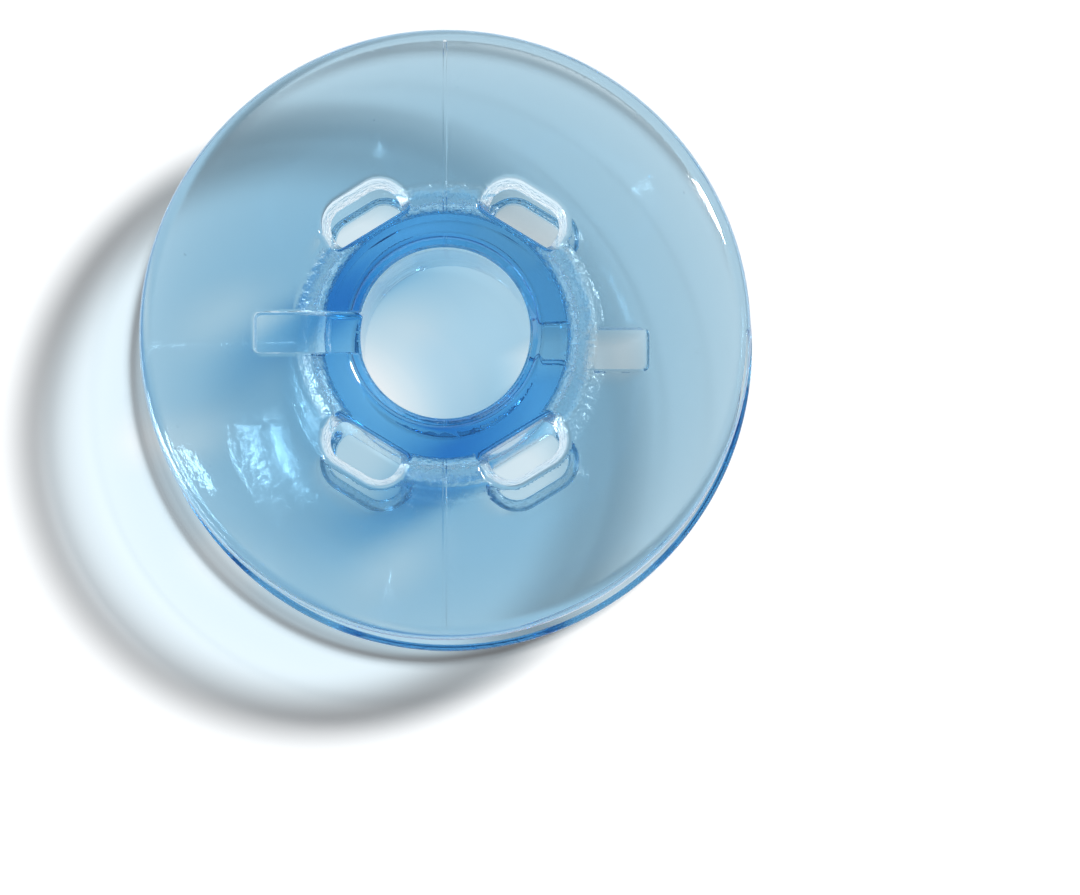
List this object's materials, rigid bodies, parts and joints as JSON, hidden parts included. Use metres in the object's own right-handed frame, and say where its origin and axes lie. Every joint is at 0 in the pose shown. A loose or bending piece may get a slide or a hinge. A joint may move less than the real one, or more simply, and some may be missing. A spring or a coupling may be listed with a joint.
{
  "type": "sewing machine bobbin",
  "caption": "Clear blue plastic sewing machine bobbin: domed flanges on a hollow hub, with thread slots beside the hub and a drive notch from the bore.",
  "frame": {"origin": "on the bobbin's axis, in the plane of the flat landing that it lies on", "axes": "+Z along the bore from the lower flange to the upper one, -X along the upper flange's drive notch, +Y away from the gate stub"},
  "size_m": [0.022, 0.022, 0.0089],
  "materials": {
    "clear_blue_plastic": "clear, see-through, polished"
  },
  "bodies": {
    "root": {"bobbin": "clear_blue_plastic"}
  },
  "joints": []
}
